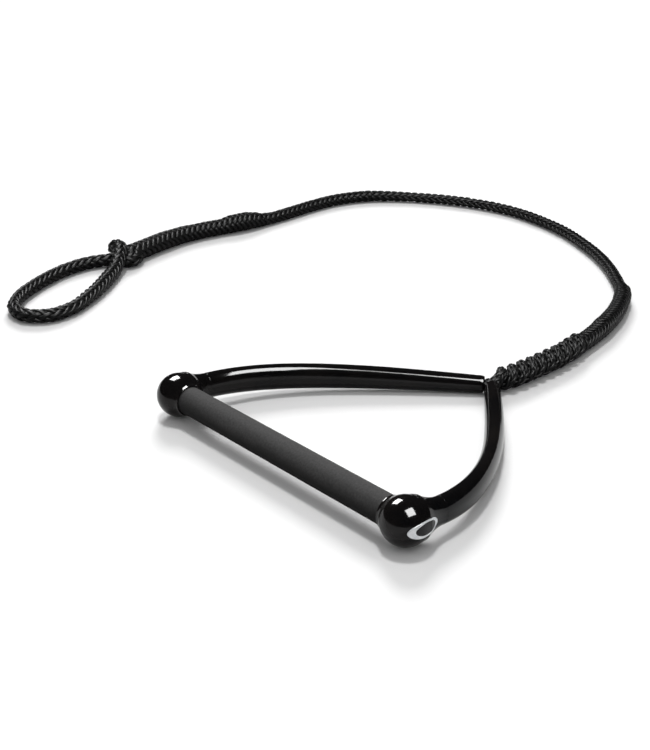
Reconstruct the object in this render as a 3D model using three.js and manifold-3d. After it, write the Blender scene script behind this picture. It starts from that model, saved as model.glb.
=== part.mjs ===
// Tow rope handle: a straight rubber grip between two ball ends, a pair of curved hollow
// bridle arms that meet at an apex, and a braided tow rope that ends in an eye loop.
//
// Millimetres, +Z up. The handle lies on its two balls and on the apex of its arms.
// X runs along the grip, +Y points from the grip towards the apex. The origin is at the
// bottom centre of the handle's own box; the rope is not counted.
import * as THREE from 'three';
import { mergeVertices } from 'three/addons/utils/BufferGeometryUtils.js';
import Module from 'manifold-3d';

const wasm = await Module();
wasm.setup();

// Fits
const GAP = 0.3;
// how far a cutting body runs past the wall that it cuts
const OVERRUN = 3;

// Grip
const GRIP_Y = -125.2;
const GRIP_RADIUS = 14.25;
const CORE_RADIUS = 11.1;
const CORE_WALL = 1.5;
const CORE_HALF_LENGTH = 156;
const PLUG_LENGTH = 18;
const PLUG_FLANGE = 1.5;
// the sleeve is a little thinner where it is pressed into the balls' sockets
const SLEEVE_SHOULDER = 1;
const SLEEVE_END_RADIUS = 14;

// Ball ends
const BALL_RADIUS = 22.5;
const BALL_X = 170;
const BALL_WALL = 3.8;
const COLLAR_RADIUS = 15.8;
const COLLAR_REACH = 20;
const COLLAR_SOCKET_DEPTH = 4.5;
const COLLAR_EDGE = 0.6;
// the bores inside a ball: distances from its centre
const CORE_BORE_END = 10;
const ROPE_BORE_START = 8;
const NECK_START = 13;
const NECK_END = 36;
const NECK_FLARE_WIDTH = 8;
const NECK_FLARE_HEIGHT = 7;

// Bridle arms: the centreline is one cubic curve from the ball to the apex
const ARM_FROM = new THREE.Vector3(BALL_X, 0, BALL_RADIUS);
const ARM_LEAVE = new THREE.Vector3(195, 98, 18.2);
const ARM_ARRIVE = new THREE.Vector3(88, 189, 13.8);
const ARM_TO = new THREE.Vector3(5.4, 268, 9.5);
const ARM_BORE_RADIUS = 6.4;
const ARM_EDGE = 1.5;
const TENON_INSET = 2.6;
const TENON_START = 20.3;
// half width and half height of the arm at even steps from the ball to the apex
const ARM_SECTIONS = [[10.5, 13.3], [8.9, 14.1], [9.6, 12.4], [8.2, 9.3]];

// Rope inside the arms
const LEG_RADIUS = 5.9;
const LEG_END_GAP = 0.2;
const KNOT_RADIUS = 12;
const KNOT_HALF_HEIGHT = 11.5;
const KNOT_SETBACK = 0.7;
const WASHER_RADIUS = 10;
const WASHER_THICKNESS = 1.5;
const WASHER_START = 13.5;

// Oval badge on the outer side of each ball
const BADGE_HALF_LENGTH = 17.5;
const BADGE_HALF_HEIGHT = 6.6;
const BADGE_CENTRE_Y = 4.5;
const BADGE_THICKNESS = 0.6;

// Tow rope
const ROPE_RADIUS = 7;
const LACING_RADIUS = 12;
const APEX_SPLICE_RADIUS = 10.5;
const BURY_RADIUS = 8.2;
const LOOP_SPLICE_RADIUS = 11;
const LOOP_RADIUS = 8.2;
const ROOT_RADIUS = 11.5;
const ROOT_HALF_HEIGHT = 10;
const THROAT_RADIUS = 20;
const THROAT_HALF_HEIGHT = 14;
const ROPE_STEP = 28;
const LOOP_STEP = 20;
const LOOP_END_GAP = 1;
const LACING_LENGTH = 142;
const APEX_SPLICE_LENGTH = 202;
// the end of the loop's rope runs on inside the tow rope for this length past the splice
const BURY_LENGTH = 201;
const LOOP_SPLICE_LENGTH = 215;

// Facets: flats round each body, and steps along it
const SLEEVE_SIDES = 36;
const CORE_SIDES = 24;
const FOAM_SIDES = 20;
const COLLAR_SIDES = 30;
const BALL_SIDES = 28;
const BALL_STACKS = 16;
const CAVITY_SIDES = 20;
const CAVITY_STACKS = 12;
const NECK_STEPS = 6;
const ARM_SIDES = 20;
const ARM_STEPS = 17;
const BORE_SIDES = 14;
const BORE_STEPS = 4;
const BADGE_SIDES = 12;
const WASHER_SIDES = 20;
const KNOT_SIDES = 14;
const KNUCKLE_SIDES = 20;
const LEG_STEPS = 16;
const ROPE_SIDES = 12;

// The rope's route on the floor, from the apex pivot to the throat of the eye loop
const PIVOT = [0, 154];
const THROAT = [-616, 80];
const TOW_ROUTE = [
  PIVOT, [-1, 200], [-4, 246], [-11, 292], [-23, 337], [-40, 381], [-62, 423],
  [-89, 460], [-123, 491], [-159, 520], [-198, 546], [-240, 568], [-306, 595],
  [-374, 609], [-420, 611], [-465, 604], [-509, 589], [-551, 566], [-589, 537],
  [-619, 502], [-633, 461], [-634, 417], [-629, 370], [-628, 322], [-633, 274],
  [-641, 207], [-637, 160], [-625, 115], THROAT,
];
// The eye loop's route, from one side of the throat round to the other
const LOOP_ROUTE = [
  [-624, 60], [-630, 36], [-627, 5], [-614, -31], [-595, -65], [-573, -95],
  [-543, -117], [-510, -118], [-492, -96], [-496, -64], [-516, -30], [-539, 1],
  [-568, 34], [-601, 65],
];

// Finishes
const glossBlack = { color: 0x0b0b0c, roughness: 0.12, metalness: 0 };
const gripRubber = { color: 0x343334, roughness: 0.85, metalness: 0 };
const aluminium = { color: 0xb9bcc0, roughness: 0.35, metalness: 1 };
const foam = { color: 0xd9d6cc, roughness: 0.95, metalness: 0 };
const nylon = { color: 0x26272a, roughness: 0.6, metalness: 0 };
const steel = { color: 0x8f9296, roughness: 0.4, metalness: 1 };
const badgeWhite = { color: 0xdfe3e6, roughness: 0.25, metalness: 0 };
const ropeBlack = { color: 0x151516, roughness: 0.55, metalness: 0 };

// ---------------------------------------------------------------- shape helpers

function toManifold(geometry) {
  const bare = geometry.clone();
  bare.deleteAttribute('normal');
  bare.deleteAttribute('uv');
  const merged = mergeVertices(bare, 1e-4);
  return new wasm.Manifold(new wasm.Mesh({
    numProp: 3,
    vertProperties: Float32Array.from(merged.attributes.position.array),
    triVerts: Uint32Array.from(merged.index.array),
  }));
}

function toGeometry(solid) {
  const mesh = solid.getMesh();
  const geometry = new THREE.BufferGeometry();
  geometry.setAttribute('position', new THREE.BufferAttribute(mesh.vertProperties, 3));
  geometry.setIndex(new THREE.BufferAttribute(mesh.triVerts, 1));
  geometry.computeVertexNormals();
  return geometry;
}

// A closed body through a list of rings with equal numbers of points, flat at both ends
function loft(rings) {
  const sides = rings[0].length;
  const positions = rings.flat().flatMap((point) => point.toArray());
  const index = [];
  for (let row = 0; row < rings.length - 1; row += 1) {
    for (let side = 0; side < sides; side += 1) {
      const next = (side + 1) % sides;
      const a = row * sides + side;
      const b = row * sides + next;
      index.push(a, b + sides, b, a, a + sides, b + sides);
    }
  }
  const last = (rings.length - 1) * sides;
  for (let side = 1; side < sides - 1; side += 1) {
    index.push(0, side, side + 1);
    index.push(last, last + side + 1, last + side);
  }
  const geometry = new THREE.BufferGeometry();
  geometry.setAttribute('position', new THREE.Float32BufferAttribute(positions, 3));
  geometry.setIndex(index);
  return geometry;
}

// The same shape on the other side of the X = 0 plane
function mirrored(geometry) {
  const copy = geometry.clone();
  copy.scale(-1, 1, 1);
  const index = Array.from(copy.index.array);
  for (let corner = 0; corner < index.length; corner += 3) {
    [index[corner], index[corner + 1]] = [index[corner + 1], index[corner]];
  }
  copy.setIndex(index);
  return copy;
}

// A profile of [position along X, radius] pairs turned about the X axis
function turnedOnX(profile, segments) {
  const points = profile.map(([along, radius]) => new THREE.Vector2(radius, along));
  const geometry = new THREE.LatheGeometry(points, segments);
  geometry.rotateY(Math.PI / segments);
  geometry.rotateZ(-Math.PI / 2);
  return geometry;
}

function rodOnX(from, to, radius, segments) {
  return turnedOnX([[from, 0], [from, radius], [to, radius], [to, 0]], segments);
}

function tubeOnX(halfLength, innerRadius, outerRadius, segments) {
  return turnedOnX([
    [-halfLength, innerRadius], [-halfLength, outerRadius],
    [halfLength, outerRadius], [halfLength, innerRadius], [-halfLength, innerRadius],
  ], segments);
}

// The rubber sleeve: full thickness between the balls, thinner in their sockets
function sleeveOnX(halfLength, shoulder, innerRadius, segments) {
  return turnedOnX([
    [-halfLength, innerRadius], [-halfLength, SLEEVE_END_RADIUS], [-shoulder, SLEEVE_END_RADIUS],
    [-shoulder, GRIP_RADIUS], [shoulder, GRIP_RADIUS],
    [shoulder, SLEEVE_END_RADIUS], [halfLength, SLEEVE_END_RADIUS], [halfLength, innerRadius],
    [-halfLength, innerRadius],
  ], segments);
}

// A round, slightly flattened body, upright on the Z axis
function pebble(radius, halfHeight, segments) {
  const profile = [];
  for (let step = 0; step <= segments / 2; step += 1) {
    const angle = (step / (segments / 2) - 0.5) * Math.PI;
    const across = step % (segments / 2) === 0 ? 0 : radius * Math.cos(angle);
    profile.push(new THREE.Vector2(across, halfHeight * Math.sin(angle)));
  }
  const geometry = new THREE.LatheGeometry(profile, segments);
  geometry.rotateX(Math.PI / 2);
  return geometry;
}

// ---------------------------------------------------------------- bridle arms

const armCurve = new THREE.CubicBezierCurve3(ARM_FROM, ARM_LEAVE, ARM_ARRIVE, ARM_TO);
const armLength = armCurve.getLength();
const armSection = new THREE.CatmullRomCurve3(
  ARM_SECTIONS.map(([width, height]) => new THREE.Vector3(width, height, 0)),
);
const UP = new THREE.Vector3(0, 0, 1);

// One elliptical ring across the arm, a given distance along its centreline
function armRing(distance, halfWidth, halfHeight, sides) {
  const fraction = THREE.MathUtils.clamp(distance / armLength, 0, 1);
  const tangent = armCurve.getTangentAt(fraction);
  const centre = armCurve.getPointAt(fraction).addScaledVector(tangent, distance - fraction * armLength);
  const across = new THREE.Vector3().crossVectors(tangent, UP).normalize();
  const upward = new THREE.Vector3().crossVectors(across, tangent);
  const points = [];
  for (let side = 0; side < sides; side += 1) {
    const angle = (side / sides) * 2 * Math.PI;
    points.push(centre.clone()
      .addScaledVector(across, halfWidth * Math.cos(angle))
      .addScaledVector(upward, halfHeight * Math.sin(angle)));
  }
  return points;
}

// The arm's outer ring at a distance, made larger or smaller by an offset
function outerRing(distance, offset, sides, flare = 0) {
  const size = armSection.getPoint(THREE.MathUtils.clamp(distance / armLength, 0, 1));
  const halfWidth = size.x + offset + flare * NECK_FLARE_WIDTH;
  const halfHeight = size.y + offset + flare * NECK_FLARE_HEIGHT;
  return armRing(distance, halfWidth, halfHeight, sides);
}

// A round bore or rope along the arm's centreline
function roundAlongArm(from, to, radius, sides, steps) {
  const rings = [];
  for (let step = 0; step <= steps; step += 1) {
    rings.push(armRing(THREE.MathUtils.lerp(from, to, step / steps), radius, radius, sides));
  }
  return loft(rings);
}

function armGeometry() {
  const shoulder = NECK_END + GAP;
  const rings = [
    outerRing(TENON_START, -TENON_INSET, ARM_SIDES),
    outerRing(shoulder, -TENON_INSET, ARM_SIDES),
  ];
  for (let step = 0; step <= ARM_STEPS; step += 1) {
    const distance = THREE.MathUtils.lerp(shoulder, armLength - ARM_EDGE, step / ARM_STEPS);
    rings.push(outerRing(distance, 0, ARM_SIDES));
  }
  rings.push(outerRing(armLength, -ARM_EDGE, ARM_SIDES));
  const bore = roundAlongArm(
    TENON_START - OVERRUN, armLength + OVERRUN, ARM_BORE_RADIUS, BORE_SIDES, ARM_STEPS,
  );
  return toGeometry(toManifold(loft(rings)).subtract(toManifold(bore)));
}

// ---------------------------------------------------------------- ball ends

// Ball and flared neck as one solid, made larger by an offset
function ballAndNeck(offset) {
  const ball = new THREE.SphereGeometry(BALL_RADIUS + offset, BALL_SIDES, BALL_STACKS);
  ball.rotateZ(Math.PI / 2);
  ball.translate(BALL_X, 0, BALL_RADIUS);
  const rings = [];
  for (let step = 0; step <= NECK_STEPS; step += 1) {
    const share = step / NECK_STEPS;
    const distance = THREE.MathUtils.lerp(NECK_START, NECK_END, share);
    rings.push(outerRing(distance, offset, BALL_SIDES, (1 - share) ** 2));
  }
  return toManifold(ball).add(toManifold(loft(rings)));
}

function ballGeometry() {
  const collar = turnedOnX([
    [-COLLAR_REACH, 0], [-COLLAR_REACH, COLLAR_RADIUS - COLLAR_EDGE],
    [COLLAR_EDGE - COLLAR_REACH, COLLAR_RADIUS], [-NECK_START, COLLAR_RADIUS], [-NECK_START, 0],
  ], COLLAR_SIDES);
  const mouth = -COLLAR_REACH - OVERRUN;
  const coreBore = rodOnX(mouth, -CORE_BORE_END, CORE_RADIUS + GAP, CORE_SIDES);
  const sleeveSocket = rodOnX(
    mouth, COLLAR_SOCKET_DEPTH - COLLAR_REACH, GRIP_RADIUS + GAP, COLLAR_SIDES,
  );
  for (const turned of [collar, coreBore, sleeveSocket]) {
    turned.translate(BALL_X, 0, BALL_RADIUS);
  }
  const cavity = new THREE.SphereGeometry(BALL_RADIUS - BALL_WALL, CAVITY_SIDES, CAVITY_STACKS);
  cavity.rotateZ(Math.PI / 2);
  cavity.translate(BALL_X, 0, BALL_RADIUS);
  const neckExit = NECK_END + OVERRUN;
  const ropeBore = roundAlongArm(ROPE_BORE_START, neckExit, ARM_BORE_RADIUS, BORE_SIDES, BORE_STEPS);
  const tenonSocket = loft([
    outerRing(TENON_START - GAP, GAP - TENON_INSET, ARM_SIDES),
    outerRing(neckExit, GAP - TENON_INSET, ARM_SIDES),
  ]);
  let shell = ballAndNeck(0).add(toManifold(collar));
  for (const hollow of [coreBore, sleeveSocket, cavity, ropeBore, tenonSocket]) {
    shell = shell.subtract(toManifold(hollow));
  }
  return toGeometry(shell);
}

function badgeGeometry() {
  const outline = new THREE.Shape();
  outline.absellipse(BADGE_CENTRE_Y, BALL_RADIUS, BADGE_HALF_LENGTH, BADGE_HALF_HEIGHT, 0, 2 * Math.PI);
  const prism = new THREE.ExtrudeGeometry(outline, {
    depth: 3 * BALL_RADIUS, bevelEnabled: false, curveSegments: BADGE_SIDES,
  });
  prism.applyMatrix4(new THREE.Matrix4().makeBasis(
    new THREE.Vector3(0, 1, 0), new THREE.Vector3(0, 0, 1), new THREE.Vector3(1, 0, 0),
  ));
  prism.translate(BALL_X, 0, 0);
  const plate = ballAndNeck(GAP + BADGE_THICKNESS)
    .intersect(toManifold(prism))
    .subtract(ballAndNeck(GAP));
  return toGeometry(plate);
}

// ---------------------------------------------------------------- rope ends in the balls

const armStart = armCurve.getTangentAt(0);

function stopperKnotGeometry() {
  const knot = pebble(KNOT_RADIUS, KNOT_HALF_HEIGHT, KNOT_SIDES);
  const centre = ARM_FROM.clone().addScaledVector(armStart, WASHER_START - KNOT_RADIUS - KNOT_SETBACK);
  knot.translate(centre.x, centre.y, centre.z);
  return knot;
}

function washerGeometry() {
  const inner = LEG_RADIUS + GAP;
  const washer = new THREE.LatheGeometry([
    new THREE.Vector2(inner, -WASHER_THICKNESS / 2), new THREE.Vector2(WASHER_RADIUS, -WASHER_THICKNESS / 2),
    new THREE.Vector2(WASHER_RADIUS, WASHER_THICKNESS / 2), new THREE.Vector2(inner, WASHER_THICKNESS / 2),
    new THREE.Vector2(inner, -WASHER_THICKNESS / 2),
  ], WASHER_SIDES);
  const middle = (WASHER_START + WASHER_THICKNESS / 2) / armLength;
  const seat = armCurve.getPointAt(middle);
  const facing = armCurve.getTangentAt(middle);
  washer.applyQuaternion(new THREE.Quaternion().setFromUnitVectors(new THREE.Vector3(0, 1, 0), facing));
  washer.translate(seat.x, seat.y, seat.z);
  return washer;
}

// ---------------------------------------------------------------- tow rope

function floorCurve(route) {
  return new THREE.CatmullRomCurve3(
    route.map(([x, y]) => new THREE.Vector3(x, y, 0)), false, 'centripetal',
  );
}

// The stretch of a route between two distances along it
class Stretch extends THREE.Curve {
  constructor(route, from, to) {
    super();
    this.route = route;
    this.start = from / route.getLength();
    this.end = to / route.getLength();
  }

  getPoint(t) {
    return this.route.getPointAt(THREE.MathUtils.lerp(this.start, this.end, t));
  }
}

// A rope of a radius along a stretch of a route, lying on the floor on one of its flats
function ropeGeometry(route, from, to, radius, step = ROPE_STEP) {
  const corner = radius / Math.cos(Math.PI / ROPE_SIDES);
  const section = new THREE.Shape();
  for (let side = 0; side < ROPE_SIDES; side += 1) {
    const angle = ((side + 0.5) / ROPE_SIDES) * 2 * Math.PI;
    const method = side === 0 ? 'moveTo' : 'lineTo';
    section[method](corner * Math.cos(angle), corner * Math.sin(angle));
  }
  section.closePath();
  const geometry = new THREE.ExtrudeGeometry(section, {
    steps: Math.round((to - from) / step),
    extrudePath: new Stretch(route, from, to),
    bevelEnabled: false,
  });
  geometry.translate(0, 0, radius);
  return geometry;
}

const towRoute = floorCurve(TOW_ROUTE);
const loopRoute = floorCurve(LOOP_ROUTE);
const towLength = towRoute.getLength();
const spliceEnd = LACING_LENGTH + APEX_SPLICE_LENGTH;
const throatStart = towLength - THROAT_RADIUS;
const loopSpliceStart = throatStart - LOOP_SPLICE_LENGTH;
const buryStart = loopSpliceStart - BURY_LENGTH;

// ---------------------------------------------------------------- assembly

const part = new THREE.Group();
const handle = new THREE.Group();
handle.position.y = GRIP_Y;
part.add(handle);

function addPiece(group, name, geometry, finish) {
  const mesh = new THREE.Mesh(geometry, new THREE.MeshStandardMaterial(finish));
  mesh.name = name;
  group.add(mesh);
  return mesh;
}

const clearGrip = BALL_X - COLLAR_REACH;
const sleeveHalfLength = clearGrip + COLLAR_SOCKET_DEPTH - GAP;
const coreBoreRadius = CORE_RADIUS - CORE_WALL;
const onGripAxis = [
  ['grip_sleeve', sleeveOnX(
    sleeveHalfLength, clearGrip - SLEEVE_SHOULDER, CORE_RADIUS + GAP, SLEEVE_SIDES,
  ), gripRubber],
  ['grip_core_tube', tubeOnX(CORE_HALF_LENGTH, coreBoreRadius, CORE_RADIUS, CORE_SIDES), aluminium],
  ['float_core', rodOnX(
    PLUG_LENGTH + GAP - CORE_HALF_LENGTH, CORE_HALF_LENGTH - PLUG_LENGTH - GAP,
    coreBoreRadius - GAP, FOAM_SIDES,
  ), foam],
];
for (const [name, geometry, finish] of onGripAxis) {
  addPiece(handle, name, geometry, finish).position.z = BALL_RADIUS;
}

const plugFrom = CORE_HALF_LENGTH - PLUG_LENGTH;
const flangeFrom = CORE_HALF_LENGTH + GAP;
const endPlug = turnedOnX([
  [plugFrom, 0], [plugFrom, coreBoreRadius - GAP], [flangeFrom, coreBoreRadius - GAP],
  [flangeFrom, CORE_RADIUS - GAP], [flangeFrom + PLUG_FLANGE, CORE_RADIUS - GAP],
  [flangeFrom + PLUG_FLANGE, 0],
], FOAM_SIDES);
endPlug.translate(0, 0, BALL_RADIUS);

const rightHandPieces = {
  end_plug: [endPlug, nylon],
  end_ball: [ballGeometry(), glossBlack],
  cap_badge: [badgeGeometry(), badgeWhite],
  bridle_arm: [armGeometry(), glossBlack],
  bridle_rope: [
    roundAlongArm(WASHER_START, armLength - LEG_END_GAP, LEG_RADIUS, ROPE_SIDES, LEG_STEPS), ropeBlack,
  ],
  stopper_knot: [stopperKnotGeometry(), ropeBlack],
  knot_washer: [washerGeometry(), steel],
};
for (const [name, [geometry, finish]] of Object.entries(rightHandPieces)) {
  addPiece(handle, `${name}_right`, geometry, finish);
  addPiece(handle, `${name}_left`, mirrored(geometry), finish);
}

const lacingRoot = pebble(ROOT_RADIUS, ROOT_HALF_HEIGHT, KNUCKLE_SIDES);
addPiece(part, 'lacing_root', lacingRoot, ropeBlack).position.set(...PIVOT, ROOT_HALF_HEIGHT);
const throatKnot = pebble(THROAT_RADIUS, THROAT_HALF_HEIGHT, KNUCKLE_SIDES);
addPiece(part, 'throat_knot', throatKnot, ropeBlack).position.set(...THROAT, THROAT_HALF_HEIGHT);

const ropePieces = [
  ['apex_lacing', towRoute, ROOT_RADIUS + GAP, LACING_LENGTH, LACING_RADIUS],
  ['apex_splice', towRoute, LACING_LENGTH + GAP, spliceEnd, APEX_SPLICE_RADIUS],
  ['tow_rope', towRoute, spliceEnd + GAP, buryStart, ROPE_RADIUS],
  ['buried_tail', towRoute, buryStart + GAP, loopSpliceStart, BURY_RADIUS],
  ['loop_splice', towRoute, loopSpliceStart + GAP, throatStart - GAP, LOOP_SPLICE_RADIUS],
  ['eye_loop', loopRoute, LOOP_END_GAP, loopRoute.getLength() - LOOP_END_GAP, LOOP_RADIUS, LOOP_STEP],
];
for (const [name, route, from, to, radius, step] of ropePieces) {
  addPiece(part, name, ropeGeometry(route, from, to, radius, step), ropeBlack);
}

export default part;
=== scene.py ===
# Looks of the tow rope handle: braided ropes, glossy moulded bridle, rubber grip.
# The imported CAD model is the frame. Lengths here are in millimetres until a mesh is made.
import math

import bmesh
import bpy
import numpy as np
from mathutils import Matrix, Vector


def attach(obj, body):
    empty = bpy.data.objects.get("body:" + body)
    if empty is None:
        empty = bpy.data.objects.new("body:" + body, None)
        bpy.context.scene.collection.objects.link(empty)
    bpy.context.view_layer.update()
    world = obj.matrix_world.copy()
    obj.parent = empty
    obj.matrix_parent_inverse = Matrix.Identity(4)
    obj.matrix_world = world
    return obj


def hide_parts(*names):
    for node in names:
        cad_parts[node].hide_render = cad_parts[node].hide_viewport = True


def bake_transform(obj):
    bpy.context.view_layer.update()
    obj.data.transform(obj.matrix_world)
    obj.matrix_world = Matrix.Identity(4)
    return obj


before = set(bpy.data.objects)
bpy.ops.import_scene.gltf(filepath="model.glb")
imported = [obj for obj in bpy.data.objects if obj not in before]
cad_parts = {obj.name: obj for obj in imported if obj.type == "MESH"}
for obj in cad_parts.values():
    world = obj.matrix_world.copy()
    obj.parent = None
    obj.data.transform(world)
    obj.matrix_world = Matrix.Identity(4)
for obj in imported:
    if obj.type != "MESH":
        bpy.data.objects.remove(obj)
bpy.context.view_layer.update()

MM = 0.001
TURN = 2 * math.pi
UP = np.array([0.0, 0.0, 1.0])

# ---------------------------------------------------------------- camera
CAMERA_AZIMUTH = math.radians(51.545)
CAMERA_ELEVATION = math.radians(23.51)
CAMERA_ROLL = math.radians(-1.28275)
CAMERA_DISTANCE = 1.5
CAMERA_TARGET = Vector((-0.15135, 0.0480, 0.0))
CAMERA_LENS = 66.99
CAMERA_SENSOR = 36.0


def make_camera():
    """The camera looks at the target from its azimuth and elevation, with a slight roll."""
    sin_az, cos_az = math.sin(CAMERA_AZIMUTH), math.cos(CAMERA_AZIMUTH)
    sin_el, cos_el = math.sin(CAMERA_ELEVATION), math.cos(CAMERA_ELEVATION)
    back = Vector((sin_az * cos_el, -cos_az * cos_el, sin_el))
    right = Vector((cos_az, sin_az, 0.0))
    up = back.cross(right)
    cos_r, sin_r = math.cos(CAMERA_ROLL), math.sin(CAMERA_ROLL)
    right, up = right * cos_r + up * sin_r, up * cos_r - right * sin_r
    data = bpy.data.cameras.new("camera")
    data.lens = CAMERA_LENS
    data.sensor_width = CAMERA_SENSOR
    data.clip_end = 50
    camera = bpy.data.objects.new("camera", data)
    bpy.context.scene.collection.objects.link(camera)
    turn = camera.matrix_world.to_3x3()
    turn.col[0], turn.col[1], turn.col[2] = right, up, back
    camera.matrix_world = turn.to_4x4()
    camera.location = CAMERA_TARGET + back * CAMERA_DISTANCE
    bpy.context.scene.camera = camera


make_camera()


# ---------------------------------------------------------------- node materials
def new_material(name):
    """An empty node material with a Principled shader, and its node tree."""
    material = bpy.data.materials.new(name)
    material.use_nodes = True
    tree = material.node_tree
    shader = tree.nodes["Principled BSDF"]
    return material, tree, shader


def add_node(tree, kind, inputs=None, **settings):
    """A node with its settings. Each input is a plain value, or a socket to link from."""
    node = tree.nodes.new(kind)
    for key, value in settings.items():
        setattr(node, key, value)
    for key, value in (inputs or {}).items():
        if isinstance(value, bpy.types.NodeSocket):
            tree.links.new(value, node.inputs[key])
        else:
            node.inputs[key].default_value = value
    return node


def ramp(tree, factor, stops):
    """A colour ramp through (position, colour) stops. A plain number is a grey."""
    node = add_node(tree, "ShaderNodeValToRGB", {"Fac": factor})
    elements = node.color_ramp.elements
    while len(elements) < len(stops):
        elements.new(0.5)
    for element, (position, colour) in zip(elements, stops):
        element.position = position
        rgb = (colour,) * 3 if isinstance(colour, (int, float)) else colour
        element.color = (*rgb, 1.0)
    return node.outputs["Color"]


def noise(tree, vector, scale, detail=4.0, rough=0.55):
    node = add_node(tree, "ShaderNodeTexNoise", {
        "Vector": vector, "Scale": scale, "Detail": detail, "Roughness": rough,
    })
    return node.outputs["Fac"]


def stretched(tree, vector, scale):
    """The vector scaled by three numbers, one for each axis."""
    node = add_node(tree, "ShaderNodeMapping", {"Vector": vector, "Scale": scale})
    return node.outputs["Vector"]


def multiplied(tree, first, second):
    """One colour times another."""
    node = add_node(tree, "ShaderNodeMix", data_type="RGBA", blend_type="MULTIPLY")
    node.inputs["Factor"].default_value = 1.0
    tree.links.new(first, node.inputs["A"])
    tree.links.new(second, node.inputs["B"])
    return node.outputs["Result"]


def product(tree, first, second):
    """One number times another."""
    node = add_node(tree, "ShaderNodeMath", {0: first, 1: second}, operation="MULTIPLY")
    return node.outputs["Value"]


def bump(tree, height, strength, distance, normal=None):
    inputs = {"Height": height, "Strength": strength, "Distance": distance}
    if normal is not None:
        inputs["Normal"] = normal
    return add_node(tree, "ShaderNodeBump", inputs).outputs["Normal"]


def coordinates(tree, which):
    return add_node(tree, "ShaderNodeTexCoord").outputs[which]


def gloss_plastic():
    """Polished black moulding: faint flow marks, dust and fine scuffs in the gloss."""
    material, tree, shader = new_material("moulded_gloss")
    place = coordinates(tree, "Object")
    flow = noise(tree, stretched(tree, place, (30, 12, 30)), 1.0, 3.0)
    scuff = noise(tree, place, 900.0, 6.0, 0.7)
    colour = ramp(tree, flow, [(0.35, (0.004, 0.004, 0.0045)), (0.7, (0.009, 0.0078, 0.0075))])
    tree.links.new(colour, shader.inputs["Base Color"])
    gloss = ramp(tree, scuff, [(0.35, 0.07), (0.62, 0.11), (0.75, 0.22)])
    tree.links.new(gloss, shader.inputs["Roughness"])
    waves = noise(tree, place, 55.0, 1.0)
    normal = bump(tree, waves, 0.25, 0.0004)
    tree.links.new(normal, shader.inputs["Normal"])
    shader.inputs["IOR"].default_value = 1.26
    return material


def grip_rubber():
    """Matt, slightly napped rubber: fine grain, cloudy worn patches, and painted shade that makes
    it darker towards the bottom and lighter on top.
    """
    material, tree, shader = new_material("grip_rubber")
    place = coordinates(tree, "Object")
    cloud = noise(tree, stretched(tree, place, (25, 60, 60)), 1.0, 5.0, 0.6)
    grain = noise(tree, place, 480.0, 6.0, 0.7)
    base = ramp(tree, cloud, [(0.32, (0.025, 0.0244, 0.0244)), (0.68, (0.0425, 0.0413, 0.0413))])
    speck = ramp(tree, grain, [(0.3, 0.6), (0.7, 1.25)])
    mixed = multiplied(tree, base, speck)
    # painted shade: the colour is scaled by height, dark underneath and a little lighter on top
    height = add_node(tree, "ShaderNodeSeparateXYZ", {0: place}).outputs["Z"]
    painted_shade = ramp(tree, product(tree, height, 20.0),
                [(0.2, 0.05), (0.42, 0.24), (0.6, 0.85), (0.7, 1.1)])
    tree.links.new(multiplied(tree, mixed, painted_shade), shader.inputs["Base Color"])
    dull = ramp(tree, cloud, [(0.3, 0.78), (0.7, 0.92)])
    tree.links.new(dull, shader.inputs["Roughness"])
    pores = noise(tree, place, 2600.0, 2.0, 0.5)
    normal = bump(tree, grain, 0.35, 0.0003)
    normal = bump(tree, pores, 0.3, 0.00012, normal)
    tree.links.new(normal, shader.inputs["Normal"])
    shader.inputs["Sheen Weight"].default_value = 0.03
    shader.inputs["Sheen Roughness"].default_value = 0.5
    shader.inputs["IOR"].default_value = 1.18
    return material


def rope_fibre(name, dark, light, rough):
    """Shiny black filaments: fine lines along each strand, with a painted highlight along its
    outer side and painted shade round the rest of it.
    """
    material, tree, shader = new_material(name)
    along = coordinates(tree, "UV")
    place = coordinates(tree, "Object")
    hairs = noise(tree, stretched(tree, along, (16, 180, 1)), 1.0, 4.0, 0.65)
    tone = noise(tree, place, 260.0, 3.0, 0.6)
    colour = ramp(tree, product(tree, hairs, tone), [(0.12, dark), (0.42, light)])
    across = add_node(tree, "ShaderNodeSeparateXYZ", {0: along}).outputs["X"]
    # painted highlight and shade: the colour is brightest along the strand's outer side and falls
    # to a tenth round the rest of it
    painted_highlight = ramp(tree, across, [
        (0.0, 0.1), (0.11, 0.45), (0.1875, 1.0), (0.265, 0.45), (0.375, 0.1),
    ])
    tree.links.new(multiplied(tree, colour, painted_highlight), shader.inputs["Base Color"])
    shine = ramp(tree, hairs, [(0.3, rough - 0.08), (0.7, rough + 0.12)])
    tree.links.new(shine, shader.inputs["Roughness"])
    normal = bump(tree, hairs, 0.5, 0.0005)
    tree.links.new(normal, shader.inputs["Normal"])
    shader.inputs["IOR"].default_value = 1.18
    return material


def painted(name, dark, light, rough_low, rough_high, scale, grain, bending=1.5):
    """A plain finish with a mottled colour and gloss, and a fine grain."""
    material, tree, shader = new_material(name)
    place = coordinates(tree, "Object")
    cloud = noise(tree, place, scale, 5.0, 0.6)
    fine = noise(tree, place, scale * 12, 3.0, 0.6)
    tree.links.new(ramp(tree, cloud, [(0.3, dark), (0.7, light)]), shader.inputs["Base Color"])
    gloss = ramp(tree, fine, [(0.3, rough_low), (0.7, rough_high)])
    tree.links.new(gloss, shader.inputs["Roughness"])
    tree.links.new(bump(tree, fine, 0.3, grain), shader.inputs["Normal"])
    shader.inputs["IOR"].default_value = bending
    return material


def metal(name, dark, light, rough_low, rough_high):
    """Bare metal with a mottled gloss."""
    material = painted(name, dark, light, rough_low, rough_high, 90.0, 0.0001)
    shader = material.node_tree.nodes["Principled BSDF"]
    shader.inputs["Metallic"].default_value = 1.0
    return material


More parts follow.
